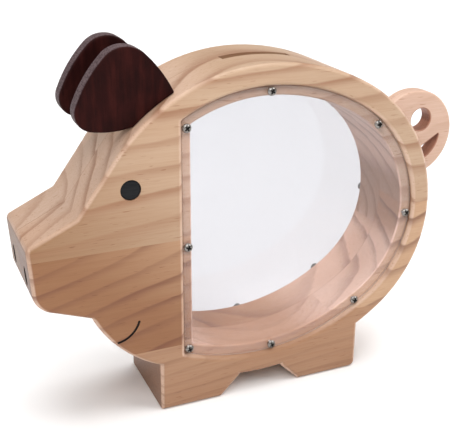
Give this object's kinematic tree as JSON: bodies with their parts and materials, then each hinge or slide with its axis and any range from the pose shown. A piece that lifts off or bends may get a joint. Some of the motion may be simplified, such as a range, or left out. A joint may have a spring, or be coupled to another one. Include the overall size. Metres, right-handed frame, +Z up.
{
  "type": "pig money box",
  "caption": "Wooden pig-shaped coin bank with a clear-windowed belly, a coin slot on its back, dark ears and a curled tail.",
  "frame": {"origin": "on the ground, under the middle of the overall length and the middle of the thickness", "axes": "the pig looks towards -X, its left side faces -Y, +Z up"},
  "size_m": [0.1792, 0.038, 0.1387],
  "materials": {
    "pine": "sanded pine under a thin satin clear coat",
    "ear_stain": "dark brown stain, satin, paler on the cut edges",
    "clear_acrylic": "clear polished acrylic sheet",
    "screw_steel": "plain small steel screws",
    "eye_black": "black plug, satin",
    "dowel": "plain birch dowel"
  },
  "bodies": {
    "body": {"left_board": "pine", "left_ear": "ear_stain", "left_eye": "eye_black", "left_ear_dowel_1": "dowel", "left_ear_dowel_2": "dowel", "right_board": "pine", "right_ear": "ear_stain", "right_eye": "eye_black", "right_ear_dowel_1": "dowel", "right_ear_dowel_2": "dowel", "tail": "pine", "tail_dowel_1": "dowel", "tail_dowel_2": "dowel"},
    "left_window": {"left_window": "clear_acrylic"},
    "left_screws": {"left_screw_1": "screw_steel", "left_screw_2": "screw_steel", "left_screw_3": "screw_steel", "left_screw_4": "screw_steel", "left_screw_5": "screw_steel", "left_screw_6": "screw_steel", "left_screw_7": "screw_steel", "left_screw_8": "screw_steel"},
    "right_window": {"right_window": "clear_acrylic"},
    "right_screws": {"right_screw_1": "screw_steel", "right_screw_2": "screw_steel", "right_screw_3": "screw_steel", "right_screw_4": "screw_steel", "right_screw_5": "screw_steel", "right_screw_6": "screw_steel", "right_screw_7": "screw_steel", "right_screw_8": "screw_steel"}
  },
  "joints": [
    {"name": "left_window_off", "type": "slide", "parent": "body", "child": "left_window", "axis": [0, -1, 0], "range_m": [0, 0.045]},
    {"name": "left_screws_out", "type": "slide", "parent": "left_window", "child": "left_screws", "axis": [0, -1, 0], "range_m": [0, 0.012]},
    {"name": "right_window_off", "type": "slide", "parent": "body", "child": "right_window", "axis": [0, 1, 0], "range_m": [0, 0.045]},
    {"name": "right_screws_out", "type": "slide", "parent": "right_window", "child": "right_screws", "axis": [0, 1, 0], "range_m": [0, 0.012]}
  ]
}
